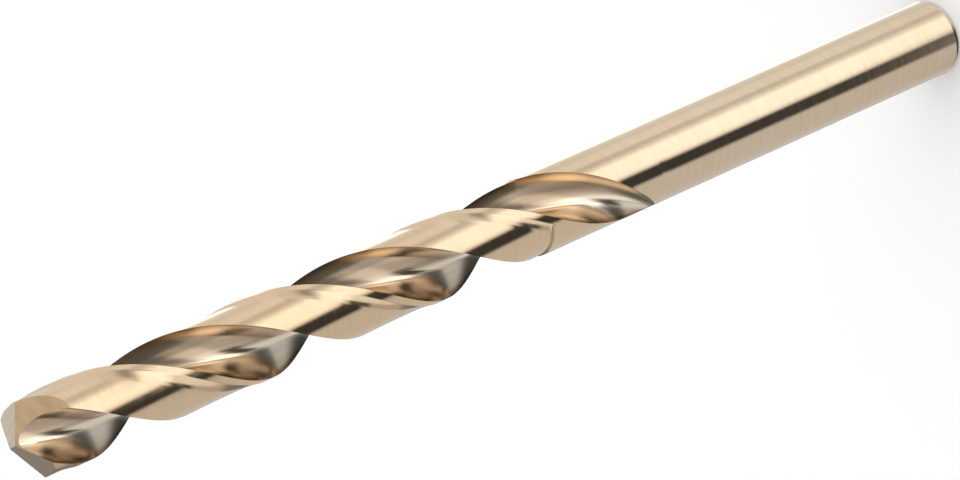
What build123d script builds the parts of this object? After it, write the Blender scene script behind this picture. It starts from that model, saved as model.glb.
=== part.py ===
from build123d import *
import math
import os

# A right-hand jobber twist drill with two flutes and a plain straight shank, ground from one
# bar of high speed steel. Millimetres and degrees. The axis is Z: the flat end of the shank
# is at z = 0 and the chisel edge of the point is at z = overall_length.

# Driving dimensions
drill_diameter = 7.8
overall_length = 117.0
flute_length = 76.3  # from the chisel edge to where the flutes have run out
helix_angle = 30.0  # at the outside diameter
shank_diameter = 7.76  # a hair under the drill's, so that a chuck never grips a raised edge
shank_length = 40.0  # the plain part, up to just below the ends of the flutes
shank_chamfer_height = 0.6
shank_chamfer_width = 0.35

# The cross-section
web_thickness = 1.15
land_angle = 89.7  # of the full turn, from a leading edge back to its heel
margin_width = 0.78
clearance_depth = 0.125  # radial step from the margin down to the body clearance
clearance_fillet = 0.6  # left by the wheel's edge beside the margin
flute_corner_radius = 1.4  # where the cutting face meets the heel side of the flute
flute_corner_turn = 40.0  # how far that corner turns
face_points = 6  # that the curve of the cutting face goes through
face_overrun = 0.3  # the face's curve runs on past the margin by this
corner_start = 0.56  # and ends this far outside the web, where the corner takes over
heel_overrun = 1.0  # the flute's wall runs on past the heel by this
heel_lap = 8.0  # degrees that the clearance runs on past the heel
cutter_reach = 1.2  # cutting profiles reach this far outside the bar
point_stock = 2.4  # bar above the chisel edge, ground away by the point

# The wheel that grinds the flutes lifts out along an arc of this radius
wheel_radius = 32.5
run_out_sections = 6

# The point: each lip has a primary relief facet, and a steep heel facet behind it
point_angle = 130.0
primary_relief = 16.0
primary_width = 1.2  # from the lip back to the heel facet, measured beside the axis
heel_relief = 57.0
heel_turn = 11.5  # the heel facet is turned about the axis, out from the lip's direction

# Worked out from the sizes above
radius = drill_diameter / 2
half_web = web_thickness / 2
body_radius = radius - clearance_depth
lead = math.pi * drill_diameter / math.tan(math.radians(helix_angle))
point_slope = 1 / math.tan(math.radians(point_angle / 2))
outside = radius + cutter_reach
blank_top = overall_length + point_stock
run_out_length = math.sqrt(2 * wheel_radius * (radius - half_web))
fluted_from = overall_length - flute_length + run_out_length


def polar(at_radius, angle):
    """Point of the cross-section at a radius and an angle."""
    turn = math.radians(angle)
    return Vector(at_radius * math.cos(turn), at_radius * math.sin(turn))


def turn_at(height):
    """Angle of the cross-section at a height: none at the chisel edge, a full turn per lead."""
    return 360 * (height - overall_length) / lead


def face_angle(at_radius):
    """Angle, in the section at the chisel edge, of the cutting face that gives a straight lip."""
    along = math.sqrt(at_radius**2 - half_web**2)
    return math.degrees(math.asin(half_web / at_radius)) + 360 * along * point_slope / lead


leading_angle = face_angle(radius)
heel_angle = leading_angle - land_angle
flute_middle = leading_angle + (180 - land_angle) / 2


def flute_outline():
    """Wire round what the wheel grinds away for one flute."""
    start = radius + face_overrun
    step = (start - half_web - corner_start) / (face_points - 1)
    reaches = [start - step * i for i in range(face_points)]
    face = Spline([polar(reach, face_angle(reach)) for reach in reaches])
    corner = JernArc(face @ 1, face % 1, flute_corner_radius, -flute_corner_turn)
    heel = polar(body_radius, heel_angle + 180)
    wall = TangentArc([corner @ 1, heel], tangent=corner % 1)
    clear = heel + (wall % 1) * heel_overrun
    leave = Line(heel, clear)
    top_left = polar(outside, math.degrees(math.atan2(clear.Y, clear.X)))
    top_right = polar(outside, face_angle(start))
    rise = Line(clear, top_left)
    cap = ThreePointArc(top_left, polar(outside, flute_middle), top_right)
    drop = Line(top_right, face @ 0)
    return Wire([face, corner, wall, leave, rise, cap, drop])


def relief_outline():
    """Wire round what is ground off one land behind its margin."""
    step_angle = leading_angle - math.degrees(margin_width / radius)
    centre = body_radius + clearance_fillet
    spread = (centre**2 + radius**2 - clearance_fillet**2) / (2 * centre * radius)
    foot_angle = step_angle - math.degrees(math.acos(spread))
    end_angle = heel_angle - heel_lap
    foot = polar(body_radius, foot_angle)
    top = polar(radius, step_angle)
    fillet_arc = TangentArc([foot, top], tangent=polar(1, foot_angle + 90))
    floor_middle = polar(body_radius, (end_angle + foot_angle) / 2)
    floor = ThreePointArc(polar(body_radius, end_angle), floor_middle, foot)
    side = Line(polar(outside, end_angle), floor @ 0)
    cap_middle = polar(outside, (end_angle + step_angle) / 2)
    cap = ThreePointArc(polar(outside, step_angle), cap_middle, polar(outside, end_angle))
    riser = Line(top, cap @ 0)
    return Wire([floor, fillet_arc, riser, cap, side])


def fluted_length():
    """The twisted length, from where the wheel starts to lift up to past the point."""
    section = Sketch() + Circle(radius)
    for side in (0, 180):
        section -= Rot(0, 0, side) * Face(flute_outline())
        section -= Rot(0, 0, side) * Face(relief_outline())
    placed = Location((0, 0, fluted_from), (0, 0, turn_at(fluted_from))) * section.face()
    return Solid.extrude_linear_with_rotation(
        placed,
        center=(0, 0, fluted_from),
        normal=(0, 0, blank_top - fluted_from),
        angle=turn_at(blank_top) - turn_at(fluted_from),
    )


def run_out_cutter(side):
    """What the wheel takes at the end of one flute, as it lifts out of the bar."""
    outline = flute_outline()
    reach = math.sqrt(2 * wheel_radius * (radius - half_web + face_overrun))
    wires = []
    for i in range(run_out_sections + 1):
        down = reach * i / run_out_sections
        height = fluted_from - down
        lift = polar(down**2 / (2 * wheel_radius), flute_middle)
        place = Location((0, 0, height), (0, 0, turn_at(height) + side)) * Location(lift)
        wires.append(outline.moved(place))
    return Solid.make_loft(wires)


def shank():
    """The round shank, with the ends of both flutes ground into the bar above it."""
    grip = shank_diameter / 2
    profile = Polyline(
        (0, 0, 0),
        (grip - shank_chamfer_width, 0, 0),
        (grip, 0, shank_chamfer_height),
        (grip, 0, shank_length),
        (radius, 0, fluted_from),
        (0, 0, fluted_from),
        close=True,
    )
    bar = Solid.revolve(Face(Wire(profile.edges())), 360, Axis.Z)
    for side in (0, 180):
        bar -= run_out_cutter(side)
    return bar


def facet_planes():
    """Planes of the two facets behind the lip on the +X side, with normals out of the steel."""
    lip_rise = math.tan(math.radians(primary_relief))
    lip_start = Vector(0, half_web, overall_length + half_web * lip_rise)
    along = Vector(1, 0, -point_slope)
    back = Vector(0, -1, -lip_rise)
    primary = Plane(lip_start, x_dir=along, z_dir=back.cross(along))
    level = Vector(1, 0, 0).rotate(Axis.Z, -heel_turn)
    down = Vector(0, -1, -math.tan(math.radians(heel_relief))).rotate(Axis.Z, -heel_turn)
    heel = Plane(lip_start + back * primary_width, x_dir=level, z_dir=down.cross(level))
    return [primary, heel]


def twist_drill():
    """The finished drill."""
    fluted = fluted_length()
    for plane in facet_planes():
        for side in (0, 180):
            turned = Plane(Rot(0, 0, side) * plane.location)
            fluted = split(fluted, bisect_by=turned, keep=Keep.BOTTOM)
    return shank() + fluted


os.makedirs("parts", exist_ok=True)
drill = twist_drill()
export_step(drill, "parts/twist_drill.step")
print("volume", round(drill.volume, 1), "solids", len(drill.solids()), "valid", drill.is_valid)
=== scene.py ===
# %% [markdown]
# # A ground twist drill
# The object is one piece of high speed steel: a round shank, two flutes that wind up the bar,
# and a faceted point. Everything on it was ground, so each surface follows a simple rule: the
# path of a wheel, a plain cylinder or a flat. The drill could be cut from a bar with booleans,
# but polished metal shows every uneven face, and a skin laid out row by row has none. This
# lesson loads the measured frame, builds that skin, gives it a ground and straw-tempered
# finish, and lights it.

# %% Load the frame
import math

import bmesh
import bpy
from mathutils import Matrix, Vector


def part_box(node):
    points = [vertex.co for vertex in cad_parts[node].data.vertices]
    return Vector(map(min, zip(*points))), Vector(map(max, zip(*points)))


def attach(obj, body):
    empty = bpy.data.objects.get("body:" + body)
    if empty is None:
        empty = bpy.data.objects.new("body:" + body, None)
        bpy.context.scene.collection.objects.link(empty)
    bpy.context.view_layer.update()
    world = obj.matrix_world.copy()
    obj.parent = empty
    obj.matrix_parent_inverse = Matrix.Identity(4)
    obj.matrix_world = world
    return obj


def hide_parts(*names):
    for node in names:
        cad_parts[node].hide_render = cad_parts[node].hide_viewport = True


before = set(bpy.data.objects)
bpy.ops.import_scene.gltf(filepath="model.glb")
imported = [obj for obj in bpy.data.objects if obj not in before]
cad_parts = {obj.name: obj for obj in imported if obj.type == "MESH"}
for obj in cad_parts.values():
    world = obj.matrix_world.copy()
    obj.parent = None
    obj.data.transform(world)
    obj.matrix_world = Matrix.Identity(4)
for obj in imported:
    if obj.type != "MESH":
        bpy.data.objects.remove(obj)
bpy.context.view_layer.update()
low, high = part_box("twist_drill")
LENGTH = high[2] - low[2]
RADIUS = (high[0] - low[0]) / 2
MM = 0.001
print("drill", round(2 * RADIUS / MM, 2), "by", round(LENGTH / MM, 2), "mm")

# %% [markdown]
# ## The cross-section
# Cut across, a twist drill looks like two fat commas back to back. Each comma is a land. It
# keeps the full diameter over a narrow margin beside its leading edge, dips into a shallow
# hollow behind the margin, and from there to the heel stays a little below the full diameter,
# so that only the margins rub in the hole. Between the lands lie the flutes, with a cutting
# face on one side, a rounded corner at the web and a hollow wall up to the next heel. The
# section could be traced by eye as one closed curve. Here it is worked out from the sizes that
# a maker would name, so each can be changed by itself. One half is enough, because the other is
# the same half turned by 180 degrees.

# %% Sizes of the section
WEB = 1.15 * MM  # thickness of steel left between the flutes
MARGIN_WIDTH = 0.78 * MM
CLEARANCE_DEPTH = 0.125 * MM  # of the land below the full diameter, at the heel
HOLLOW_DEPTH = 0.24 * MM  # at the deepest line, close behind the margin
HOLLOW_WIDTH = 1.35 * MM  # from that line up to the margin
CORNER_RADIUS = 1.4 * MM
CORNER_START = 0.56 * MM  # the face ends this far outside the web
FACE_OVERRUN = 0.3 * MM  # the wheel's outline starts this far outside the leading edge
HEEL_OVERRUN = 1.0 * MM  # and runs on this far past the heel
LAND_ANGLE = math.radians(89.7)
CORNER_TURN = math.radians(40.0)
HELIX_ANGLE = math.radians(30.0)
POINT_ANGLE = math.radians(130.0)

HALF_WEB = WEB / 2
HEEL_RADIUS = RADIUS - CLEARANCE_DEPTH
LEAD = math.tau * RADIUS / math.tan(HELIX_ANGLE)
POINT_SLOPE = 1 / math.tan(POINT_ANGLE / 2)
print("lead of the flutes", round(LEAD / MM, 2), "mm")

# %% [markdown]
# ## Where the lands begin and end
# The cutting face isn't flat. It has just the curve that the cone of the point meets in a
# straight lip, so its angle round the axis can be worked out at each distance from it: the
# angle of a straight line beside the axis, plus the twist over the height that the cone falls.

# %% Angles of the lands
def polar(reach, angle):
    """Point of the section at a distance and an angle from the axis."""
    return Vector((reach * math.cos(angle), reach * math.sin(angle)))


def face_angle(reach):
    """Angle of the cutting face at a distance from the axis, for a straight lip."""
    along = math.sqrt(reach**2 - HALF_WEB**2)
    return math.asin(HALF_WEB / reach) + math.tau * along * POINT_SLOPE / LEAD


LEADING = face_angle(RADIUS)
HEEL = LEADING - LAND_ANGLE
NEXT_HEEL = HEEL + math.pi
FLUTE_MIDDLE = LEADING + (math.pi - LAND_ANGLE) / 2
print("leading edge at", round(math.degrees(LEADING), 1), "degrees")

# %% [markdown]
# ## The flute's outline
# The wheel that grinds a flute leaves one smooth outline: the cutting face, an arc for the
# corner, and a larger arc for the wall, each running into the next without a kink. A curve
# object could hold it, but where the wheel lifts out of the bar only part of the outline cuts,
# so it is kept as a fine row of points with the distance walked along it. Any stretch can then
# be read off again in even steps.

# %% Outline of one flute
FACE_STEPS = 60
ARC_STEPS = 80


def arc_points(start, direction, turn, length, steps):
    """Points along an arc that leaves start in a direction, and its last direction."""
    points = []
    heading = math.atan2(direction.y, direction.x)
    bend = turn / steps
    place = start.copy()
    chord = length / steps * (math.sin(bend / 2) / (bend / 2))
    for _ in range(steps):
        place = place + polar(chord, heading + bend / 2)
        heading += bend
        points.append(place.copy())
    return points, polar(1, heading)


def flute_outline():
    """The wheel's outline, from outside the leading edge to outside the next heel."""
    first = RADIUS + FACE_OVERRUN
    last = HALF_WEB + CORNER_START
    reaches = [first + (last - first) * i / FACE_STEPS for i in range(FACE_STEPS + 1)]
    points = [polar(reach, face_angle(reach)) for reach in reaches]
    direction = (points[-1] - points[-2]).normalized()
    length = CORNER_RADIUS * CORNER_TURN
    corner, direction = arc_points(points[-1], direction, -CORNER_TURN, length, ARC_STEPS)
    points += corner
    heel = polar(HEEL_RADIUS, NEXT_HEEL)
    chord = heel - points[-1]
    half_turn = -chord.angle_signed(direction)
    length = chord.length * half_turn / math.sin(half_turn)
    wall, direction = arc_points(points[-1], direction, -2 * half_turn, length, ARC_STEPS)
    points += wall
    points.append(heel + direction * HEEL_OVERRUN)
    return points


outline = flute_outline()
walked = [0.0]
for before, after in zip(outline, outline[1:]):
    walked.append(walked[-1] + (after - before).length)
WALKED_TO_HEEL = walked[-2]
print("outline of", len(outline), "points,", round(walked[-1] / MM, 2), "mm long")

# %% [markdown]
# ## One row of the skin
# A row is one half of the section as a list of points, always as many and in the same order:
# the back of the land, the hollow, the margin, then the flute from the leading edge to the
# next heel. Equal rows are what lets each point be linked to its neighbour above without any
# guessing. The first helpers read points off the outline.

# %% Steps of a row, and reading the outline
BACK_STEPS = 20
HOLLOW_STEPS = 14
MARGIN_STEPS = 8
FLUTE_STEPS = 60
LAND_STEPS = BACK_STEPS + HOLLOW_STEPS + MARGIN_STEPS


def spaced(first, last, steps):
    """Evenly spaced values from first up to, but without, last."""
    return [first + (last - first) * i / steps for i in range(steps)]


def outline_at(distance):
    """Point of the flute's outline at a walked distance."""
    i = next(k for k in range(1, len(walked)) if walked[k] >= distance or k == len(walked) - 1)
    share = (distance - walked[i - 1]) / (walked[i] - walked[i - 1])
    return outline[i - 1].lerp(outline[i], share)


def inside_stretch(lift, bar):
    """Where the lifted outline enters and leaves a bar of this radius, as walked distances."""
    reach = [(point + lift).length for point in outline]
    inside = [i for i, distance in enumerate(reach) if distance < bar]
    first = inside[0]
    last = inside[-1]
    enter = (reach[first - 1] - bar) / (reach[first - 1] - reach[first])
    leave = (bar - reach[last]) / (reach[last + 1] - reach[last])
    start = walked[first - 1] + enter * (walked[first] - walked[first - 1])
    end = walked[last] + leave * (walked[last + 1] - walked[last])
    return start, end


flute_start, _ = inside_stretch(Vector((0, 0)), RADIUS)
print("a row has", LAND_STEPS + FLUTE_STEPS + 1, "points")

# %% [markdown]
# ## The shape of a land
# Behind the margin the land is one shallow hollow. A circle a little smaller than the drill
# would be simpler, but polished steel shows the hollow by the way it bends the reflections
# beside the margin. From its deepest line a short parabola climbs to the margin and a gentler
# one climbs back towards the heel, so the land has no kink except at the margin's edge. Each
# point of a land also gets a share between 0 at the heel and 1 at the leading edge, which holds
# its place in a row where the land is wider or narrower.

# %% Shape of the land
MARGIN_FOOT = LEADING - MARGIN_WIDTH / RADIUS
DEEPEST = MARGIN_FOOT - HOLLOW_WIDTH / RADIUS

land_angles = spaced(HEEL, DEEPEST, BACK_STEPS)
land_angles += spaced(DEEPEST, MARGIN_FOOT, HOLLOW_STEPS)
land_angles += spaced(MARGIN_FOOT, LEADING, MARGIN_STEPS)
land_shares = [(angle - HEEL) / (LEADING - HEEL) for angle in land_angles]


def land_reach(angle):
    """Distance of the land's surface from the axis, by angle."""
    if angle < DEEPEST:
        left = (DEEPEST - angle) / (DEEPEST - HEEL)
        return RADIUS - HOLLOW_DEPTH + (HOLLOW_DEPTH - CLEARANCE_DEPTH) * left**2
    climbed = min(1, (angle - DEEPEST) / (MARGIN_FOOT - DEEPEST))
    return RADIUS - HOLLOW_DEPTH * (1 - climbed**2)


print("the margin is", round(math.degrees(LEADING - MARGIN_FOOT), 1), "degrees wide")


# %% The row at full depth
def full_row():
    """The section at full depth."""
    points = [polar(land_reach(angle), angle) for angle in land_angles]
    for distance in spaced(flute_start, WALKED_TO_HEEL, FLUTE_STEPS):
        points.append(outline_at(distance))
    points.append(polar(HEEL_RADIUS, NEXT_HEEL))
    return points


section = full_row()
across = [0.0]
for before, after in zip(section, section[1:]):
    across.append(across[-1] + (after - before).length)
print("half the section is", round(across[-1] / MM, 2), "mm round")

# %% [markdown]
# ## A row where the wheel lifts out
# There the bar is still plain and round. The outline is moved outwards, and only the part of
# it that is still inside the bar is used. The land takes up all the rest of the bar.

# %% A row of the run-out
def angle_of(point, near):
    """Angle of a point, in the turn nearest to another angle."""
    angle = math.atan2(point.y, point.x)
    return angle + math.tau * round((near - angle) / math.tau)


def lifted_row(lift_out, bar):
    """The section of a round bar where the wheel has lifted out by some distance."""
    lift = polar(lift_out, FLUTE_MIDDLE)
    start, end = inside_stretch(lift, bar)
    leading = angle_of(outline_at(start) + lift, LEADING)
    heel = angle_of(outline_at(end) + lift, NEXT_HEEL) - math.pi
    points = [polar(bar, heel + (leading - heel) * share) for share in land_shares]
    points += [outline_at(distance) + lift for distance in spaced(start, end, FLUTE_STEPS)]
    points.append(polar(bar, heel + math.pi))
    return points


print("a lifted row has", len(lifted_row(MM, RADIUS)), "points too")

# %% [markdown]
# ## Where the flutes run out
# The wheel leaves the bar along an arc, so its lift grows with the square of the way down. The
# lowest row is where the outline only just touches the bar. No formula gives that height,
# because the outline is made of three curves, so it is found by halving: keep the half in
# which the wheel stops cutting, again and again.

# %% Find the end of the flutes
FLUTE_LENGTH = 76.3 * MM
WHEEL_RADIUS = 32.5 * MM
SHANK_RADIUS = 3.88 * MM
SHANK_LENGTH = 40.0 * MM
HALVINGS = 60
JUST_SHORT = 0.99995  # share of the way down at which the outline still cuts by a hair

FLUTED_FROM = LENGTH - FLUTE_LENGTH + math.sqrt(2 * WHEEL_RADIUS * (RADIUS - HALF_WEB))


def bar_radius(height):
    """Radius of the bar below the clearance: plain shank, then a slight cone."""
    share = (height - SHANK_LENGTH) / (FLUTED_FROM - SHANK_LENGTH)
    return SHANK_RADIUS + (RADIUS - SHANK_RADIUS) * min(1, max(0, share))


def depth_left(down):
    """How deep the outline still cuts into the bar, at a distance below the full depth."""
    lift = polar(down**2 / (2 * WHEEL_RADIUS), FLUTE_MIDDLE)
    return bar_radius(FLUTED_FROM - down) - min((point + lift).length for point in outline)


cuts = 0
misses = math.sqrt(2 * WHEEL_RADIUS * RADIUS)
for _ in range(HALVINGS):
    middle = (cuts + misses) / 2
    cuts, misses = (middle, misses) if depth_left(middle) > 0 else (cuts, middle)
RUN_OUT = cuts * JUST_SHORT
FLUTES_END = FLUTED_FROM - RUN_OUT
print("flutes run out", round(FLUTES_END / MM, 2), "mm above the shank's end")

# %% [markdown]
# ## The rows of the fluted part
# In the run-out the rows lie closer together towards its tip, because the flute narrows
# fastest there. Above it the clearance fades in over a short shoulder, as a wheel with a
# rounded edge leaves it. From there the section stays the same, so the rows are evenly spaced.
# They run on past the point's height: that stock is ground away later.

# %% Rows from the run-out to the blank above the point
POINT_STOCK = 2.4 * MM
ROW_SPACING = 0.3 * MM
RUN_OUT_ROWS = 60
SHOULDER_LENGTH = 0.2 * MM
SHOULDER_ROWS = 6

BLANK_TOP = LENGTH + POINT_STOCK

rows = []
for i in range(RUN_OUT_ROWS, -1, -1):
    down = RUN_OUT * (1 - (1 - i / RUN_OUT_ROWS) ** 2)
    height = FLUTED_FROM - down
    rows.append((height, lifted_row(down**2 / (2 * WHEEL_RADIUS), bar_radius(height))))
round_row = rows[-1][1]
for i in range(1, SHOULDER_ROWS):
    share = i / SHOULDER_ROWS
    depth = math.sin(share * math.pi / 2)
    blended = [outer.lerp(inner, depth) for outer, inner in zip(round_row, section)]
    rows.append((FLUTED_FROM + SHOULDER_LENGTH * share, blended))
even_rows = math.ceil((BLANK_TOP - FLUTED_FROM) / ROW_SPACING)
for height in spaced(FLUTED_FROM + SHOULDER_LENGTH, BLANK_TOP, even_rows):
    rows.append((height, section))
rows.append((BLANK_TOP, section))
print(len(rows), "fluted rows")

# %% [markdown]
# ## The rows of the shank
# The shank is a plain cylinder with a chamfer at its end. A cylinder primitive would do, but
# its points wouldn't meet those of the lowest fluted row. So the shank's rows take their
# angles from that row, where the whole flute has shrunk to one point.

# %% Rows of the shank
CHAMFER_HEIGHT = 0.6 * MM
CHAMFER_WIDTH = 0.35 * MM
SHANK_STEPS = 40

lowest_row = rows[0][1]
flute_tip_angle = math.atan2(lowest_row[-1].y, lowest_row[-1].x)
shank_angles = [math.atan2(point.y, point.x) for point in lowest_row[:LAND_STEPS]]
shank_angles.append(flute_tip_angle)

shank_profile = [(0.0, SHANK_RADIUS - CHAMFER_WIDTH)]
for height in spaced(CHAMFER_HEIGHT, SHANK_LENGTH, SHANK_STEPS) + [SHANK_LENGTH]:
    shank_profile.append((height, SHANK_RADIUS))
shank_rows = []
for height, bar in shank_profile:
    shank_rows.append((height, [polar(bar, angle) for angle in shank_angles]))
print(len(shank_rows), "shank rows")

# %% [markdown]
# ## The half skin, still untwisted
# The rows become one mesh by linking each point to its neighbours in the row and in the next
# row. The flutes are straight here. A modifier could skin a few profiles, but linking the rows
# one by one gives each face what its finish needs at the same time. Each corner gets a place
# on a UV map, in millimetres: across the section and along the bar, so that grinding lines can
# follow the flutes later. A whole number on each face tells ground flute from ground land.

# %% Build the straight half
LAND = 0
FLUTE = 1


def straight_half():
    """Mesh of half the drill's skin with the twist taken out."""
    skin = bmesh.new()
    uv_layer = skin.loops.layers.uv.new("ground")
    finish_layer = skin.faces.layers.int.new("finish")
    grid = []
    for height, points in shank_rows + rows:
        grid.append([skin.verts.new((point.x, point.y, height)) for point in points])
    # The lowest fluted row holds the flute's tip, where its whole width is one point
    tip_height = rows[0][0]
    flute_tip = (*polar(bar_radius(tip_height), flute_tip_angle), tip_height)
    for vert in grid[len(shank_rows)][LAND_STEPS:]:
        vert.co = flute_tip
    for lower, upper in zip(grid, grid[1:]):
        for j in range(min(len(lower), len(upper)) - 1):
            face = skin.faces.new((lower[j], lower[j + 1], upper[j + 1], upper[j]))
            face[finish_layer] = FLUTE if j >= LAND_STEPS else LAND
            # The face's corners come as left and right below, then right and left above
            for loop, step in zip(face.loops, (0, 1, 1, 0)):
                loop[uv_layer].uv = (across[j + step] / MM, loop.vert.co.z / MM)
    mesh = bpy.data.meshes.new("straight_half")
    skin.to_mesh(mesh)
    skin.free()
    return mesh


half_mesh = straight_half()
drill = bpy.data.objects.new("ground_drill", half_mesh)
bpy.context.collection.objects.link(drill)
print("half the skin:", len(half_mesh.polygons), "faces")

# %% [markdown]
# ## The finish
# Cobalt high speed steel is tempered after it is ground, which leaves it a pale straw gold. The
# colour is a thin oxide, so it belongs to the metal's own colour, and the surface stays a
# mirror blurred by fine grinding lines. The lines run the way each wheel went: round the lands
# and the shank, along the flutes, and straight across the point's facets. Every finish needs
# the same few nodes, so short helpers place and link them.

# %% Helpers that place and link nodes
def node(tree, kind, **settings):
    """A node with its settings."""
    made = tree.nodes.new(kind)
    for name, value in settings.items():
        setattr(made, name, value)
    return made


def feed(tree, socket, value):
    """Link a socket to another socket, or set it to a value."""
    if isinstance(value, bpy.types.NodeSocket):
        tree.links.new(value, socket)
    else:
        socket.default_value = value


print("nodes can be placed and linked")


# %% Helpers for numbers
def math_node(tree, operation, first, second):
    """A Math node fed by sockets or numbers."""
    made = node(tree, "ShaderNodeMath", operation=operation)
    feed(tree, made.inputs[0], first)
    feed(tree, made.inputs[1], second)
    return made.outputs[0]


def noise(tree, vector, scale, detail, roughness):
    """A noise texture on some coordinates."""
    made = node(tree, "ShaderNodeTexNoise")
    feed(tree, made.inputs["Vector"], vector)
    feed(tree, made.inputs["Scale"], scale)
    feed(tree, made.inputs["Detail"], detail)
    feed(tree, made.inputs["Roughness"], roughness)
    return made.outputs["Fac"]


def remap(tree, value, low, high, to_low, to_high):
    """A value moved from one range to another and held there."""
    made = node(tree, "ShaderNodeMapRange")
    feed(tree, made.inputs["Value"], value)
    feed(tree, made.inputs["From Min"], low)
    feed(tree, made.inputs["From Max"], high)
    feed(tree, made.inputs["To Min"], to_low)
    feed(tree, made.inputs["To Max"], to_high)
    return made.outputs["Result"]


print("numbers can be worked out, made by noise and moved to another range")

# %% Helper for colours
# A Mix node lists its sockets for numbers, vectors and colours one after another
MIX_FACTOR = 0
MIX_FIRST = 6
MIX_SECOND = 7
MIX_COLOUR = 2


def mix_colour(tree, factor, first, second, blend="MIX"):
    """Two colours mixed; each may be a socket or a value."""
    made = node(tree, "ShaderNodeMix", data_type="RGBA", blend_type=blend)
    feed(tree, made.inputs[MIX_FACTOR], factor)
    feed(tree, made.inputs[MIX_FIRST], first)
    feed(tree, made.inputs[MIX_SECOND], second)
    return made.outputs[MIX_COLOUR]


print("colours can be mixed and multiplied")

# %% [markdown]
# ## Grinding lines
# A grinding wheel leaves thousands of fine scratches side by side. Noise does the same when its
# coordinates are stretched: little along the scratch, a lot across it. One fine noise gives the
# height of the lines, and a broader one gives streaks where the wheel was duller. An
# anisotropic shader would be quicker, but lines in a bump map also show as lines close up.

# %% Helper that starts a group
def shader_group(name, inputs, outputs):
    """An empty shader group with named sockets, and its two ends."""
    group = bpy.data.node_groups.new(name, "ShaderNodeTree")
    for socket_name, kind, value in inputs:
        socket = group.interface.new_socket(socket_name, in_out="INPUT", socket_type=kind)
        if value is not None:
            socket.default_value = value
    for socket_name, kind in outputs:
        group.interface.new_socket(socket_name, in_out="OUTPUT", socket_type=kind)
    return group, node(group, "NodeGroupInput"), node(group, "NodeGroupOutput")


print("groups can be started")

# %% Group: grinding lines
FINE_SCALE = 1.0
FINE_DETAIL = 4
FINE_ROUGHNESS = 0.65
BROAD_SCALE = 0.21
BROAD_DETAIL = 3
BROAD_ROUGHNESS = 0.55
STREAK_RANGE = (0.35, 0.65)

lines, lines_in, lines_out = shader_group(
    "grinding_lines",
    (("Coordinates", "NodeSocketVector", None), ("Stretch", "NodeSocketVector", (1, 1, 1))),
    (("Height", "NodeSocketFloat"), ("Streaks", "NodeSocketFloat")),
)
stretched = node(lines, "ShaderNodeVectorMath", operation="MULTIPLY")
feed(lines, stretched.inputs[0], lines_in.outputs["Coordinates"])
feed(lines, stretched.inputs[1], lines_in.outputs["Stretch"])
fine = noise(lines, stretched.outputs[0], FINE_SCALE, FINE_DETAIL, FINE_ROUGHNESS)
broad = noise(lines, stretched.outputs[0], BROAD_SCALE, BROAD_DETAIL, BROAD_ROUGHNESS)
feed(lines, lines_out.inputs["Height"], fine)
feed(lines, lines_out.inputs["Streaks"], remap(lines, broad, *STREAK_RANGE, 0, 1))
print("group", lines.name)

# %% [markdown]
# ## Temper colours
# The oxide is never quite even: where the steel was a little hotter, it is a deeper gold. The
# patches could be painted, but noise needs no file and leaves no seam. Soft clouds of it on the
# object's own coordinates mix a deeper tint into the base colour.

# %% Group: temper colours
STRAW = (0.78, 0.62, 0.43, 1)
AMBER = (0.98, 0.78, 0.50, 1)
CLOUD_SCALE = 160
CLOUD_DETAIL = 3
CLOUD_ROUGHNESS = 0.5
CLOUD_RANGE = (0.38, 0.66)

temper, temper_in, temper_out = shader_group(
    "temper_colours",
    (
        ("Coordinates", "NodeSocketVector", None),
        ("Base", "NodeSocketColor", STRAW),
        ("Tint", "NodeSocketColor", AMBER),
        ("Amount", "NodeSocketFloat", 0.5),
    ),
    (("Colour", "NodeSocketColor"),),
)
clouds = noise(
    temper, temper_in.outputs["Coordinates"], CLOUD_SCALE, CLOUD_DETAIL, CLOUD_ROUGHNESS
)
patches = remap(temper, clouds, *CLOUD_RANGE, 0, 1)
amount = math_node(temper, "MULTIPLY", patches, temper_in.outputs["Amount"])
tinted = mix_colour(temper, amount, temper_in.outputs["Base"], temper_in.outputs["Tint"])
feed(temper, temper_out.inputs["Colour"], tinted)
print("group", temper.name)

# %% [markdown]
# ## A ground steel
# Each ground surface is the same metal with its own direction of lines, depth of lines and
# colour. One function builds them all. The streaks do two jobs: they darken the colour a
# little, and they shift the gloss from keen to dull. The lines are read from the UV map where
# they follow the twist, and from the object's own coordinates on the flat facets.

# %% Build a ground steel
BRONZE = (0.50, 0.37, 0.26, 1)
KEEN = 0.85  # shares of a finish's roughness between which the streaks vary it
DULL = 1.2


def use_group(tree, group, **values):
    """A placed group with some of its inputs set or linked."""
    made = node(tree, "ShaderNodeGroup", node_tree=group)
    for name, value in values.items():
        feed(tree, made.inputs[name], value)
    return made


def metal(name):
    """A material whose Principled BSDF is all metal."""
    material = bpy.data.materials.new(name)
    material.use_nodes = True
    surface = material.node_tree.nodes["Principled BSDF"]
    surface.inputs["Metallic"].default_value = 1
    return material, material.node_tree, surface


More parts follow.
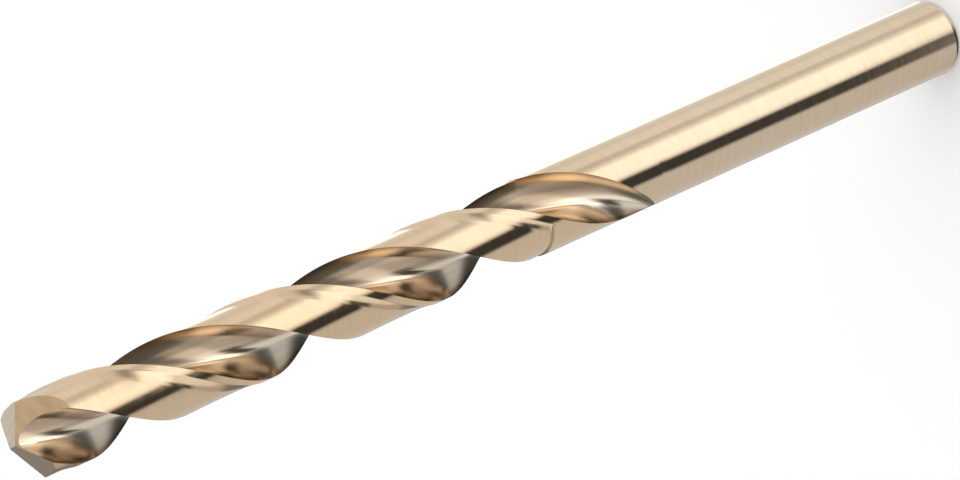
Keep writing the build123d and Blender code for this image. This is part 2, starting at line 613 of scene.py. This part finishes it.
def ground_steel(
    name, *, base, tint, tint_amount, streak_amount, roughness, stretch, line_depth, shade=None
):
    """A tempered steel with grinding lines in one direction; shade recolours it by UV."""
    material, tree, surface = metal(name)
    where = node(tree, "ShaderNodeTexCoord").outputs["Object"]
    track = node(tree, "ShaderNodeUVMap", uv_map="ground").outputs["UV"] if shade else where
    ground = use_group(tree, lines, Coordinates=track, Stretch=stretch)
    tempered = use_group(tree, temper, Coordinates=where, Base=base, Tint=tint, Amount=tint_amount)
    colour = tempered.outputs["Colour"]
    # On the flutes this recolouring paints highlight and shade into the colour.
    if shade:
        colour = shade(tree, track, colour)
    streaks = ground.outputs["Streaks"]
    faint = remap(tree, streaks, 0, 1, 0, streak_amount)
    feed(tree, surface.inputs["Base Color"], mix_colour(tree, faint, colour, BRONZE))
    gloss = remap(tree, streaks, 0, 1, roughness * KEEN, roughness * DULL)
    feed(tree, surface.inputs["Roughness"], gloss)
    bump = node(tree, "ShaderNodeBump")
    feed(tree, bump.inputs["Distance"], line_depth)
    feed(tree, bump.inputs["Strength"], 1)
    feed(tree, bump.inputs["Height"], ground.outputs["Height"])
    feed(tree, surface.inputs["Normal"], bump.outputs["Normal"])
    return material


print("streaks vary the gloss from", KEEN, "to", DULL)

# %% [markdown]
# ## The lands and the shank
# They were ground with a fine wheel while the drill turned. So their lines run round the bar,
# close together and shallow. The straw deepens a little from the gripped end towards the
# cutting end, and a mix over the height gives that.

# %% Land steel
WARM_WHITE = (1.0, 0.97, 0.93, 1)
LAND_STRAW = (0.79, 0.62, 0.43, 1)
SHANK_STRAW = (0.78, 0.65, 0.49, 1)
DEEPENS_FROM = 35  # millimetres up the bar
DEEPENS_TO = 75


def land_shades(tree, track, colour):
    """The straw deepens from the shank towards the fluted part."""
    split = node(tree, "ShaderNodeSeparateXYZ")
    feed(tree, split.inputs[0], track)
    fluted = remap(tree, split.outputs["Y"], DEEPENS_FROM, DEEPENS_TO, 0, 1)
    straw = mix_colour(tree, fluted, SHANK_STRAW, LAND_STRAW)
    return mix_colour(tree, 1, colour, straw, "MULTIPLY")


land_steel = ground_steel(
    "land_steel",
    base=WARM_WHITE,
    tint=AMBER,
    tint_amount=0.10,
    streak_amount=0.08,
    roughness=0.11,
    stretch=(0.5, 9, 1),  # features in a millimetre: few round the bar, many along it
    line_depth=0.00018 * MM,
    shade=land_shades,
)
print("finish", land_steel.name)

# %% [markdown]
# ## The flutes
# The wheel that cuts the flutes is coarser and runs along them, so their lines are deeper and
# follow the twist. Their colour is a browner straw temper with painted light on it: a ramp
# paints a pale highlight on the cutting face, painted shade in the middle of the wall where a
# crease falls into shade, and painted shadow along the very edge of both. Colours on the
# points could hold this painted light, but a ramp over the UV map is smooth between the rows
# and easy to change.
# It runs across the flute from the leading edge at 0 to the next heel at 1.

# %% Flute steel
FLUTE_START = across[LAND_STEPS] / MM
FLUTE_END = across[-1] / MM
# Stops across the flute paint light into the colour: the pale stops are a painted highlight on the
# cutting face, the dark stops painted shade in the wall's crease and painted shadow at both edges.
FLUTE_TEMPER_AND_PAINTED_SHADE = (
    (0.0, (0.34, 0.23, 0.15, 1)),
    (0.05, (0.46, 0.35, 0.25, 1)),
    (0.10, (0.84, 0.72, 0.55, 1)),
    (0.22, (0.98, 0.89, 0.76, 1)),
    (0.32, (1.0, 0.93, 0.82, 1)),
    (0.48, (0.97, 0.86, 0.71, 1)),
    (0.55, (0.60, 0.49, 0.38, 1)),
    (0.62, (0.42, 0.335, 0.255, 1)),
    (0.70, (0.42, 0.33, 0.24, 1)),
    (0.77, (0.62, 0.50, 0.38, 1)),
    (0.83, (0.78, 0.64, 0.49, 1)),
    (0.90, (0.70, 0.52, 0.34, 1)),
    (0.95, (0.44, 0.30, 0.18, 1)),
    (1.0, (0.16, 0.10, 0.06, 1)),
)


def colour_ramp(tree, factor, shades):
    """A ramp through (place, colour) stops."""
    ramp = node(tree, "ShaderNodeValToRGB")
    feed(tree, ramp.inputs["Fac"], factor)
    stops = ramp.color_ramp.elements
    while len(stops) < len(shades):
        stops.new(1)
    for stop, (place, shade) in zip(stops, shades):
        stop.position = place
        stop.color = shade
    return ramp.outputs["Color"]


def flute_temper_and_painted_shade(tree, track, colour):
    """Painted highlight on the cutting face, painted shade in the wall and painted shadow at both
    edges, over the temper.
    """
    split = node(tree, "ShaderNodeSeparateXYZ")
    feed(tree, split.inputs[0], track)
    place = remap(tree, split.outputs["X"], FLUTE_START, FLUTE_END, 0, 1)
    return mix_colour(tree, 1, colour, colour_ramp(tree, place, FLUTE_TEMPER_AND_PAINTED_SHADE), "MULTIPLY")


flute_steel_and_painted_shade = ground_steel(
    "flute_steel_and_painted_shade",
    base=WARM_WHITE,
    tint=AMBER,
    tint_amount=0.22,
    streak_amount=0.14,
    roughness=0.16,
    stretch=(7, 0.35, 1),  # many across the flute, few along it
    line_depth=0.0010 * MM,
    shade=flute_temper_and_painted_shade,
)
print("finish", flute_steel_and_painted_shade.name, "over", round(FLUTE_END - FLUTE_START, 2), "mm")

# %% [markdown]
# ## The point's facets
# The facets were ground with a cup wheel that passes straight over them. Each kind of facet has
# lines in its own direction, which the stretch gives on plain object coordinates: the axis
# with the small number is the one along which the lines run.

# %% Facet steels
FACET_TAN = (0.80, 0.55, 0.32, 1)
PALE = (0.80, 0.70, 0.56, 1)
ALONG_LINES = 900  # features in a metre
ACROSS_LINES = 5000

heel_facet_steel = ground_steel(
    "heel_facet_steel",
    base=FACET_TAN,
    tint=STRAW,
    tint_amount=0.5,
    streak_amount=0.45,
    roughness=0.2,
    stretch=(ALONG_LINES, ACROSS_LINES, ACROSS_LINES),
    line_depth=0.001 * MM,
)
lip_facet_steel = ground_steel(
    "lip_facet_steel",
    base=PALE,
    tint=STRAW,
    tint_amount=0.6,
    streak_amount=0.3,
    roughness=0.2,
    stretch=(ACROSS_LINES, ALONG_LINES, ALONG_LINES),
    line_depth=0.0007 * MM,
)
print("finishes", heel_facet_steel.name, "and", lip_facet_steel.name)

# %% [markdown]
# ## The worn edges
# Edges are where the straw colour rubs off first, in spots. A shader can look for edges by
# itself with Pointiness, but on long thin faces that leaves blotches. Here the edges will be
# real narrow faces with a finish of their own, in which noise bares the steel in places.

# %% Group: worn edges, and edge steel
BARE_STEEL = (0.86, 0.82, 0.76, 1)
EDGE_ROUGHNESS = 0.3
SPOT_SCALE = 900
SPOT_DETAIL = 3
SPOT_ROUGHNESS = 0.6
SPOT_RANGE = (0.38, 0.56)

wear, wear_in, wear_out = shader_group(
    "worn_edges",
    (("Coordinates", "NodeSocketVector", None),),
    (("Worn", "NodeSocketFloat"),),
)
spots = noise(wear, wear_in.outputs["Coordinates"], SPOT_SCALE, SPOT_DETAIL, SPOT_ROUGHNESS)
feed(wear, wear_out.inputs["Worn"], remap(wear, spots, *SPOT_RANGE, 0, 1))

edge_steel, edge_tree, edge_surface = metal("edge_steel")
where = node(edge_tree, "ShaderNodeTexCoord").outputs["Object"]
worn = use_group(edge_tree, wear, Coordinates=where).outputs["Worn"]
feed(edge_tree, edge_surface.inputs["Base Color"], mix_colour(edge_tree, worn, STRAW, BARE_STEEL))
feed(edge_tree, edge_surface.inputs["Roughness"], EDGE_ROUGHNESS)
print("finish", edge_steel.name)

# %% [markdown]
# ## Twist it and repeat it with Geometry Nodes
# On the grinder the bar turns while it moves past the wheel. The tree does the same: each point
# turns about the axis in step with its height, a full turn for each lead. Below the end of the
# flutes the turn stays as it is, because a plain round shank needs none. A Simple Deform
# modifier could twist the bar too, but its angle counts from the object's box, and here the
# lead is a length with a name of its own. First come the tree's named inputs.

# %% Start the tree
twist = bpy.data.node_groups.new("twist_and_repeat", "GeometryNodeTree")
twist.interface.new_socket("Geometry", in_out="INPUT", socket_type="NodeSocketGeometry")
sockets = {}
for name, kind in (
    ("Lead", "NodeSocketFloat"),
    ("Point height", "NodeSocketFloat"),
    ("Run-out height", "NodeSocketFloat"),
    ("Flutes", "NodeSocketInt"),
    ("Land finish", "NodeSocketMaterial"),
    ("Flute finish", "NodeSocketMaterial"),
):
    sockets[name] = twist.interface.new_socket(name, in_out="INPUT", socket_type=kind).identifier
twist.interface.new_socket("Geometry", in_out="OUTPUT", socket_type="NodeSocketGeometry")
given = node(twist, "NodeGroupInput").outputs
result = node(twist, "NodeGroupOutput").inputs
print("inputs of the tree:", ", ".join(sockets))

# %% Nodes that twist
place = node(twist, "GeometryNodeInputPosition").outputs[0]
parts = node(twist, "ShaderNodeSeparateXYZ")
feed(twist, parts.inputs[0], place)
turning_height = math_node(twist, "MAXIMUM", parts.outputs["Z"], given["Run-out height"])
from_point = math_node(twist, "SUBTRACT", turning_height, given["Point height"])
turns = math_node(twist, "DIVIDE", from_point, given["Lead"])
turned = node(twist, "ShaderNodeVectorRotate", rotation_type="Z_AXIS")
feed(twist, turned.inputs["Vector"], place)
feed(twist, turned.inputs["Angle"], math_node(twist, "MULTIPLY", turns, math.tau))
moved = node(twist, "GeometryNodeSetPosition")
feed(twist, moved.inputs["Geometry"], given["Geometry"])
feed(twist, moved.inputs["Position"], turned.outputs[0])
print("twist made of", len(twist.nodes), "nodes so far")

# %% [markdown]
# ## Once for each flute
# A drill's flutes are all alike, so the twisted half is set around the axis once for each. A
# mirror would make a left-handed copy, and an array would need a helper object to turn about.
# The tree puts down as many points as flutes, all on the axis, each with an instance turned by
# its share of a full turn. The instances are made real and the points that meet along the seams
# are joined, which closes the skin. The number on each face then says which finish it takes.

# %% Nodes that repeat, join and finish
SEAM = 0.0001 * MM  # points closer than this are one

centres = node(twist, "GeometryNodePoints")
feed(twist, centres.inputs["Count"], given["Flutes"])
number = node(twist, "GeometryNodeInputIndex").outputs[0]
share = math_node(twist, "DIVIDE", number, given["Flutes"])
about_z = node(twist, "ShaderNodeCombineXYZ")
feed(twist, about_z.inputs["Z"], math_node(twist, "MULTIPLY", share, math.tau))
repeated = node(twist, "GeometryNodeInstanceOnPoints")
feed(twist, repeated.inputs["Points"], centres.outputs[0])
feed(twist, repeated.inputs["Instance"], moved.outputs[0])
feed(twist, repeated.inputs["Rotation"], about_z.outputs[0])
real = node(twist, "GeometryNodeRealizeInstances")
feed(twist, real.inputs[0], repeated.outputs[0])
joined = node(twist, "GeometryNodeMergeByDistance")
feed(twist, joined.inputs["Distance"], SEAM)
feed(twist, joined.inputs["Geometry"], real.outputs[0])

finish_number = node(twist, "GeometryNodeInputNamedAttribute", data_type="INT")
feed(twist, finish_number.inputs["Name"], "finish")
in_flute = node(twist, "FunctionNodeCompare", data_type="INT", operation="EQUAL")
feed(twist, in_flute.inputs["A"], finish_number.outputs["Attribute"])
feed(twist, in_flute.inputs["B"], FLUTE)
lands_finished = node(twist, "GeometryNodeSetMaterial")
feed(twist, lands_finished.inputs["Geometry"], joined.outputs[0])
feed(twist, lands_finished.inputs["Material"], given["Land finish"])
all_finished = node(twist, "GeometryNodeSetMaterial")
feed(twist, all_finished.inputs["Geometry"], lands_finished.outputs[0])
feed(twist, all_finished.inputs["Selection"], in_flute.outputs[0])
feed(twist, all_finished.inputs["Material"], given["Flute finish"])
feed(twist, result[0], all_finished.outputs[0])
print("tree with", len(twist.nodes), "nodes")

# %% [markdown]
# ## Run the tree
# A modifier's inputs go by the identifiers of the sockets, which were kept when the sockets
# were made. The half's mesh gets the land finish first, so that the tree finds a filled
# material slot and puts the flute finish in a second one. The result is then taken out as a
# plain mesh and the modifier goes, because the point is ground on real faces.

# %% Twist the half into a whole
FLUTES = 2


def plain_mesh(piece, modifier):
    """Turn what a piece's modifier makes into the piece's own mesh."""
    old = piece.data
    evaluated = piece.evaluated_get(bpy.context.evaluated_depsgraph_get())
    made = bpy.data.meshes.new_from_object(evaluated)
    piece.modifiers.remove(modifier)
    piece.data = made
    bpy.data.meshes.remove(old)
    made.name = piece.name
    return made


half_mesh.materials.append(land_steel)
modifier = drill.modifiers.new("twist", "NODES")
modifier.node_group = twist
modifier[sockets["Lead"]] = LEAD
modifier[sockets["Point height"]] = LENGTH
modifier[sockets["Run-out height"]] = FLUTES_END
modifier[sockets["Flutes"]] = FLUTES
modifier[sockets["Land finish"]] = land_steel
modifier[sockets["Flute finish"]] = flute_steel_and_painted_shade
drill_mesh = plain_mesh(drill, modifier)
print("finishes set by the tree:", [material.name for material in drill_mesh.materials])
print("whole skin:", len(drill_mesh.vertices), "points,", len(drill_mesh.polygons), "faces")

# %% [markdown]
# ## Grind the point
# The point is made the way a tool grinder makes it: flat planes are taken off a blank. Each lip
# has a narrow facet with little relief behind it, and a steep heel facet behind that. The
# planes are worked out from the lip: it runs out from beside the axis and falls with the
# point's angle, and each facet falls away behind it by its relief.

# %% Planes of the facets
HEEL_FACET = 2  # material slots, after those of the lands and the flutes
LIP_FACET = 3
PRIMARY_RELIEF = math.radians(16.0)
PRIMARY_WIDTH = 1.2 * MM
HEEL_RELIEF = math.radians(57.0)
HEEL_TURN = math.radians(11.5)


def facet_planes():
    """Place and outward normal of the facets behind the lip on the +X side."""
    rise = math.tan(PRIMARY_RELIEF)
    lip = Vector((0, HALF_WEB, LENGTH + HALF_WEB * rise))
    along = Vector((1, 0, -POINT_SLOPE))
    back = Vector((0, -1, -rise))
    out = Matrix.Rotation(-HEEL_TURN, 3, "Z")
    level = out @ Vector((1, 0, 0))
    down = out @ Vector((0, -1, -math.tan(HEEL_RELIEF)))
    return [
        (LIP_FACET, lip, back.cross(along)),
        (HEEL_FACET, lip + back * PRIMARY_WIDTH, down.cross(level)),
    ]


print(FLUTES * len(facet_planes()), "facets to grind")

# %% [markdown]
# ## Cut and cap
# Each cut removes what lies outside its plane and fills the opening with a flat face. The
# chisel edge in the middle comes by itself, where the two narrow facets meet. A boolean would
# do the same with a big block, but a plane leaves cleaner corners. Filling the open ends first
# matters: a cut through a closed solid always leaves a closed loop to fill.

# %% Cut the facets
SMOOTH_BELOW = math.radians(24)


def fill_holes(solid, finish):
    """Close every open loop with a flat face of one finish."""
    before = set(solid.faces)
    open_edges = [edge for edge in solid.edges if edge.is_boundary]
    bmesh.ops.holes_fill(solid, edges=open_edges, sides=0)
    made = [face for face in solid.faces if face not in before]
    for face in made:
        face.material_index = finish
    return made


def grind_facet(solid, finish, place, normal):
    """Take off all that lies outside one plane."""
    everything = solid.verts[:] + solid.edges[:] + solid.faces[:]
    bmesh.ops.bisect_plane(
        solid, geom=everything, dist=SEAM, plane_co=place, plane_no=normal, clear_outer=True
    )
    return fill_holes(solid, finish)


drill_mesh.materials.append(heel_facet_steel)
drill_mesh.materials.append(lip_facet_steel)
solid = bmesh.new()
solid.from_mesh(drill_mesh)
print("ends closed:", len(fill_holes(solid, LAND)))
for flute in range(FLUTES):
    about_axis = Matrix.Rotation(math.tau * flute / FLUTES, 3, "Z")
    for finish, place, normal in facet_planes():
        made = grind_facet(solid, finish, about_axis @ place, about_axis @ normal)
        print("facet with", sum(len(face.verts) for face in made), "corners")
bmesh.ops.recalc_face_normals(solid, faces=solid.faces[:])
open_edges = sum(not edge.is_manifold for edge in solid.edges)
print("open edges:", open_edges, "volume", round(solid.calc_volume() / MM**3, 1), "mm3")
solid.to_mesh(drill_mesh)
solid.free()
drill_mesh.shade_smooth()
drill_mesh.set_sharp_from_angle(angle=SMOOTH_BELOW)

# %% [markdown]
# ## Take the keenness off the edges
# No real edge is perfectly keen. Each edge sharper than a set angle gets a bevel of a few
# hundredths of a millimetre, which is too small to see as a shape but catches a thin line of
# light. A bevel node in the material would only seem to round them, while real faces stay with
# the mesh wherever it goes. The bevelled faces take the edge finish.

# %% Ease the edges
EASED_EDGE = 4  # material slot, after those of the facets
EDGE_ROUND = 0.03 * MM
EDGE_STEPS = 2
EASED_ABOVE = math.radians(28)

drill_mesh.materials.append(edge_steel)
eased = drill.modifiers.new("eased_edges", "BEVEL")
eased.width = EDGE_ROUND
eased.segments = EDGE_STEPS
eased.limit_method = "ANGLE"
eased.angle_limit = EASED_ABOVE
eased.use_clamp_overlap = True
eased.material = EASED_EDGE
drill_mesh = plain_mesh(drill, eased)
print("with eased edges:", len(drill_mesh.polygons), "faces")
print("finishes:", [material.name for material in drill_mesh.materials])

# %% Hand the drill over
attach(drill, "root")
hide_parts("twist_drill")
print("the drill rides root and replaces the measured solid")

# %% [markdown]
# ## Camera
# A drill is slim, so a long lens from half a metre away keeps its sides nearly parallel. The
# drill stands on its shank, and the camera looks down on it and is rolled on its side, so the
# drill lies across the frame from corner to corner. An aim at a target would leave the roll
# open, so the camera's own three directions are written down and made into its matrix.

# %% Camera
LENS = 202.6  # millimetres
SENSOR = 36
CAMERA_PLACE = Vector((0.248564, 0.341518, 0.354044))
CAMERA_RIGHT = Vector((0.63576, 0.18041, -0.75051))
CAMERA_UP = Vector((-0.60164, 0.72494, -0.33539))
CAMERA_BACK = Vector((0.48357, 0.66477, 0.56943))

camera_data = bpy.data.cameras.new("camera")
camera_data.sensor_width = SENSOR
camera_data.lens = LENS
camera = bpy.data.objects.new("camera", camera_data)
bpy.context.collection.objects.link(camera)
rotation = Matrix((CAMERA_RIGHT, CAMERA_UP, CAMERA_BACK)).transposed().to_4x4()
camera.matrix_world = Matrix.Translation(CAMERA_PLACE) @ rotation
bpy.context.scene.camera = camera
print("camera", round(CAMERA_PLACE.length, 2), "m from the shank's end")

# %% [markdown]
# ## What the steel reflects
# Polished metal has little colour of its own in a render: it shows what stands around it. In a
# studio a tent of white paper stands around such a thing, with lamps and dark strips behind it.
# Here the tent is a globe of glowing paper bands, and each band has pale, bright and dark
# fields around it. The bright field gives the streak of light along the lands and the
# shank, and the dark field next to it the stripe that runs beside the streak. The wide dark
# fields at other heights shade the flutes. A sky picture could do this too, but fields are
# easier to move one by one, and each has only a direction and a level.

# %% Glowing paper
BRIGHTEST = 1.5  # what white paper gives off
HALF_TURN = 180
FULL_TURN = 360


def glowing_paper(name, fields):
    """Paper whose level changes with the direction from the axis, through (degrees, level)."""
    material = bpy.data.materials.new(name)
    material.use_nodes = True
    tree = material.node_tree
    tree.nodes.remove(tree.nodes["Principled BSDF"])
    where = node(tree, "ShaderNodeTexCoord").outputs["Object"]
    around = node(tree, "ShaderNodeTexGradient", gradient_type="RADIAL")
    feed(tree, around.inputs["Vector"], where)
    shades = []
    for direction, level in fields:
        grey = level / BRIGHTEST
        shades.append(((direction + HALF_TURN) / FULL_TURN, (grey, grey, grey, 1)))
    glow = node(tree, "ShaderNodeEmission")
    feed(tree, glow.inputs["Strength"], BRIGHTEST)
    feed(tree, glow.inputs["Color"], colour_ramp(tree, around.outputs["Fac"], shades))
    feed(tree, tree.nodes["Material Output"].inputs["Surface"], glow.outputs[0])
    return material


print("brightest paper", BRIGHTEST)

# %% [markdown]
# ## The bands of the globe
# A band is a profile turned about the drill's axis, like a pot on a wheel. Only reflections
# see it. The camera doesn't, it doesn't light the floor, and it casts no shadow, so the floor
# and the backdrop stay plain white whatever the bands show.

# %% Bands of the globe
GLOBE_RADIUS = 1.5
GLOBE_HEIGHT = LENGTH * 0.6
STEPS_AROUND = 96
STEPS_UP = 8


def turned_card(name, profile, material):
    """A card made by turning a profile of (radius, height) points about the axis."""
    card = bmesh.new()
    rings = []
    for reach, height in profile:
        places = [polar(reach, math.tau * i / STEPS_AROUND) for i in range(STEPS_AROUND)]
        rings.append([card.verts.new((*place, height)) for place in places])
    for lower, upper in zip(rings, rings[1:]):
        for i in range(STEPS_AROUND):
            k = (i + 1) % STEPS_AROUND
            card.faces.new((lower[i], lower[k], upper[k], upper[i]))
    mesh = bpy.data.meshes.new(name)
    card.to_mesh(mesh)
    card.free()
    mesh.materials.append(material)
    made = bpy.data.objects.new(name, mesh)
    bpy.context.collection.objects.link(made)
    made.visible_camera = False
    made.visible_diffuse = False
    made.visible_shadow = False


def globe_band(name, lowest, highest, fields):
    """A band of the paper globe between two elevations, in degrees."""
    profile = []
    for i in range(STEPS_UP + 1):
        tilt = math.radians(lowest + (highest - lowest) * i / STEPS_UP)
        height = GLOBE_HEIGHT + GLOBE_RADIUS * math.sin(tilt)
        profile.append((GLOBE_RADIUS * math.cos(tilt), height))
    turned_card(name, profile, glowing_paper(name, fields))


print("globe", 2 * GLOBE_RADIUS, "m across")

# %% [markdown]
# ## Pale, bright and dark fields
# The bands are listed from the foot of the globe to its roof. The lands and the shank stand
# upright, so from the camera they mirror little but the one band called globe_floor. Its dark
# field from 12 to 38 degrees, with the bright field from 47 to 102 degrees beside it, is what
# gives the drill its crisp stripe. The tilted walls of the flutes mirror the other bands.

# %% Hang the globe
BANDS = (
    ("globe_foot", -89.9, -46, (
        (-180, 0.75), (-150, 0.8), (-128, 0.4), (-108, 0.06), (-75, 0.05), (-60, 0.10),
        (-48, 0.28), (-35, 0.46), (0, 0.46), (12, 0.16), (28, 0.08), (44, 0.12),
        (60, 0.4), (90, 0.8), (150, 0.7), (180, 0.75),
    )),
    ("globe_skirt", -46, -42.5, (
        (-180, 0.75), (-140, 0.5), (-118, 0.10), (-66, 0.12), (-52, 0.3), (-37, 0.45),
        (-8, 0.6), (25, 0.55), (36, 0.45), (48, 0.6), (66, 1.3), (92, 1.3),
        (112, 0.7), (180, 0.75),
    )),
    ("globe_floor", -42.5, -29, (
        (-180, 0.85), (-168, 0.85), (-162, 1.4), (-134, 1.4), (-128, 0.14), (-114, 0.14),
        (-106, 0.67), (-84, 0.67), (0, 0.67), (4, 0.60), (12, 0.05), (38, 0.05),
        (47, 1.15), (56, 1.45), (92, 1.5), (102, 1.05), (112, 0.74), (120, 0.70),
        (130, 0.95), (150, 0.92), (165, 0.80), (180, 0.85),
    )),
    ("globe_seam", -29, -22, (
        (-180, 0.85), (-125, 0.6), (-105, 0.2), (-72, 0.25), (-58, 0.5), (-45, 0.5),
        (-12, 0.5), (-3, 0.08), (24, 0.08), (34, 1.0), (42, 1.4), (66, 1.5),
        (78, 0.8), (100, 0.8), (140, 0.9), (180, 0.85),
    )),
    ("globe_low_wall", -22, -2, (
        (-180, 0.85), (-125, 0.6), (-105, 0.2), (-72, 0.25), (-58, 0.5), (-42, 0.85),
        (-10, 0.95), (18, 1.0), (28, 1.4), (38, 1.6), (64, 1.5), (76, 0.7),
        (84, 0.4), (92, 0.45), (104, 0.8), (140, 0.9), (180, 0.85),
    )),
    ("globe_wall", -2, 8, (
        (-180, 0.75), (-120, 0.6), (-100, 0.3), (-60, 0.4), (-20, 0.45), (30, 0.55),
        (48, 0.7), (62, 0.5), (72, 0.25), (90, 0.2), (104, 0.7), (150, 0.8),
        (180, 0.75),
    )),
    ("globe_high_wall", 8, 24, (
        (-180, 0.7), (-140, 0.72), (-115, 0.26), (-80, 0.26), (-40, 0.3), (5, 0.3),
        (15, 0.12), (92, 0.10), (102, 0.65), (180, 0.7),
    )),
    ("globe_roof", 24, 89.9, (
        (-180, 0.7), (-120, 0.5), (-60, 0.4), (60, 0.4), (85, 0.66), (180, 0.7),
    )),
)
for name, lowest, highest, fields in BANDS:
    globe_band(name, lowest, highest, fields)
print("paper globe of", len(BANDS), "bands")

# %% [markdown]
# ## Floor
# The floor is matt white paper under the drill's foot, where it catches a soft shadow. It is
# hidden from reflections: the lower bands of the globe lie below it, and the steel has to see
# them.

# %% Floor
FLOOR_HALF = 2.0
FLOOR_WHITE = (0.9, 0.9, 0.9, 1)
FLOOR_ROUGHNESS = 0.9

corners = [(-FLOOR_HALF, -FLOOR_HALF, 0), (FLOOR_HALF, -FLOOR_HALF, 0)]
corners += [(FLOOR_HALF, FLOOR_HALF, 0), (-FLOOR_HALF, FLOOR_HALF, 0)]
floor_mesh = bpy.data.meshes.new("floor")
floor_mesh.from_pydata(corners, [], [(0, 1, 2, 3)])
floor = bpy.data.objects.new("floor", floor_mesh)
bpy.context.collection.objects.link(floor)
paper = bpy.data.materials.new("white_paper")
paper.use_nodes = True
paper_surface = paper.node_tree.nodes["Principled BSDF"]
paper_surface.inputs["Base Color"].default_value = FLOOR_WHITE
paper_surface.inputs["Roughness"].default_value = FLOOR_ROUGHNESS
floor_mesh.materials.append(paper)
floor.visible_glossy = False
print("floor", 2 * FLOOR_HALF, "m wide")

# %% [markdown]
# ## Light
# An even white sky lights the floor to just white, and one broad lamp above gives the soft
# shadow a side. The lamp is hidden from reflections too, since the globe alone makes those.

# %% Lamp and sky
LAMP_PLACE = (-0.3, 0.5, 1.2)
LAMP_WIDTH = 0.9
LAMP_WATTS = 3.0
SKY_LEVEL = 1.0

lamp_data = bpy.data.lights.new("soft_lamp", "AREA")
lamp_data.shape = "DISK"
lamp_data.size = LAMP_WIDTH
lamp_data.energy = LAMP_WATTS
lamp = bpy.data.objects.new("soft_lamp", lamp_data)
lamp.location = LAMP_PLACE
lamp.rotation_euler = (-lamp.location).to_track_quat("-Z", "Y").to_euler()
lamp.visible_glossy = False
bpy.context.collection.objects.link(lamp)

sky = bpy.data.worlds.new("sky")
sky.use_nodes = True
backdrop = sky.node_tree.nodes["Background"]
backdrop.inputs["Color"].default_value = (1, 1, 1, 1)
backdrop.inputs["Strength"].default_value = SKY_LEVEL
bpy.context.scene.world = sky
bpy.context.scene.view_settings.view_transform = "Standard"
print("lamp of", LAMP_WATTS, "W and a sky of level", SKY_LEVEL)
